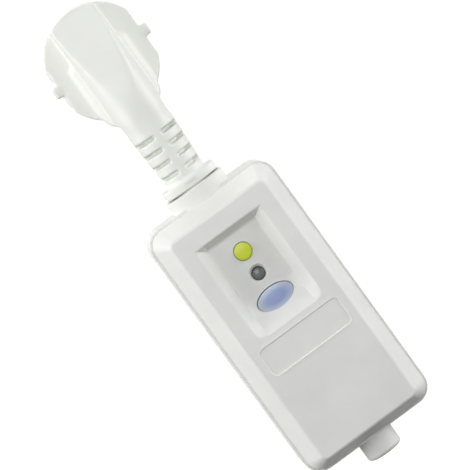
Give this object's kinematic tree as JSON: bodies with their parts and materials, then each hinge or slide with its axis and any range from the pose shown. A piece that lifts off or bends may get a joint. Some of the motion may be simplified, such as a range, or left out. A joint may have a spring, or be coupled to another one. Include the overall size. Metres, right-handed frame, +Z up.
{
  "type": "in-line residual-current device with plug",
  "caption": "Pale in-line residual-current device: moulded right-angle mains plug, slotted neck and box with a recess, green reset button, lamp and blue test button.",
  "frame": {"origin": "centre of the plug's engagement face, midway between the two pins", "axes": "+Y along the pins into the socket, +Z up the cord's axis from the box to the plug, -Y from the front face towards the user"},
  "size_m": [0.05, 0.0594, 0.1829],
  "materials": {
    "soft_white": "satin moulded soft plastic",
    "pale_shell": "fine matt moulded plastic",
    "green_button": "gloss moulded plastic",
    "blue_button": "gloss moulded plastic",
    "smoke_lens": "clear smoky resin",
    "nickel": "nickel plate",
    "steel": "zinc plate",
    "brass": "bare",
    "copper": "bare copper",
    "nylon": "natural moulded plastic",
    "dark_plastic": "moulded plastic",
    "red_plastic": "moulded plastic",
    "board": "laminate",
    "brown_wire": "extruded",
    "blue_wire": "extruded",
    "earth_wire": "extruded",
    "ferrite": "ground",
    "component": "dipped"
  },
  "bodies": {
    "housing": {"plug_body": "soft_white", "pin_carrier": "dark_plastic", "line_pin": "nickel", "neutral_pin": "nickel", "earth_strip": "brass", "earth_sleeve": "brass", "input_cord": "soft_white", "line_wire": "brown_wire", "neutral_wire": "blue_wire", "earth_wire": "earth_wire", "front_cover": "pale_shell", "rear_cover": "pale_shell", "cover_screws": "steel", "outlet_gland": "soft_white", "cord_clamp": "nylon", "clamp_screws": "steel", "reset_spring": "steel", "test_spring": "steel", "indicator_lamp": "smoke_lens", "circuit_board": "board", "board_screws": "steel", "line_in_terminal": "brass", "neutral_in_terminal": "brass", "line_out_terminal": "brass", "neutral_out_terminal": "brass", "earth_terminal": "brass", "terminal_screws": "steel", "earth_bar": "brass", "contact_base": "nylon", "line_contacts": "copper", "neutral_contacts": "copper", "carriage_springs": "steel", "latch_pin": "steel", "trip_yoke": "steel", "trip_bobbin": "nylon", "trip_winding": "copper", "plunger_spring": "steel", "sensor_core": "ferrite", "sensor_winding": "copper", "line_primary": "brown_wire", "neutral_primary": "blue_wire", "test_base": "nylon", "leaf_post": "brass", "test_post": "brass", "test_resistor": "component", "varistor": "component", "control_chip": "dark_plastic", "smoothing_capacitor": "component"},
    "reset": {"reset_button": "green_button"},
    "carriage": {"contact_carriage": "red_plastic", "line_bridge": "copper", "neutral_bridge": "copper"},
    "test": {"test_button": "blue_button"},
    "leaf": {"test_leaf": "copper"},
    "plunger": {"trip_plunger": "steel"},
    "latch": {"latch_lever": "steel"}
  },
  "joints": [
    {"name": "reset_press", "type": "slide", "parent": "housing", "child": "reset", "axis": [0, 1, 0], "range_m": [0, 0.0015], "stiffness_N_per_m": 800, "deforming": ["reset_spring"]},
    {"name": "carriage_slide", "type": "slide", "parent": "housing", "child": "carriage", "axis": [0, 1, 0], "range_m": [0, 0.0015], "stiffness_N_per_m": 200, "deforming": ["carriage_springs"]},
    {"name": "test_press", "type": "slide", "parent": "housing", "child": "test", "axis": [0, 1, 0], "range_m": [0, 0.0012], "stiffness_N_per_m": 800, "deforming": ["test_spring"]},
    {"name": "leaf_bend", "type": "hinge", "parent": "housing", "child": "leaf", "pos_m": [-0.0052, -0.0257, -0.0969], "axis": [0, 0, 1], "range_deg": [0, 13.39], "stiffness_Nm_per_rad": 0.004},
    {"name": "plunger_slide", "type": "slide", "parent": "housing", "child": "plunger", "axis": [0, 0, -1], "range_m": [0, 0.0012], "stiffness_N_per_m": 400, "deforming": ["plunger_spring"]},
    {"name": "latch_swing", "type": "hinge", "parent": "housing", "child": "latch", "pos_m": [0.0076, -0.0226, -0.0874], "axis": [1, 0, 0], "range_deg": [0, 12.89], "stiffness_Nm_per_rad": 0.002}
  ],
  "couplings": [
    {"joint": "carriage_slide", "follows": "reset_press", "ratio": 1},
    {"joint": "leaf_bend", "follows": "test_press", "rad_per_m": 194.06},
    {"joint": "latch_swing", "follows": "plunger_slide", "rad_per_m": 186.74}
  ]
}
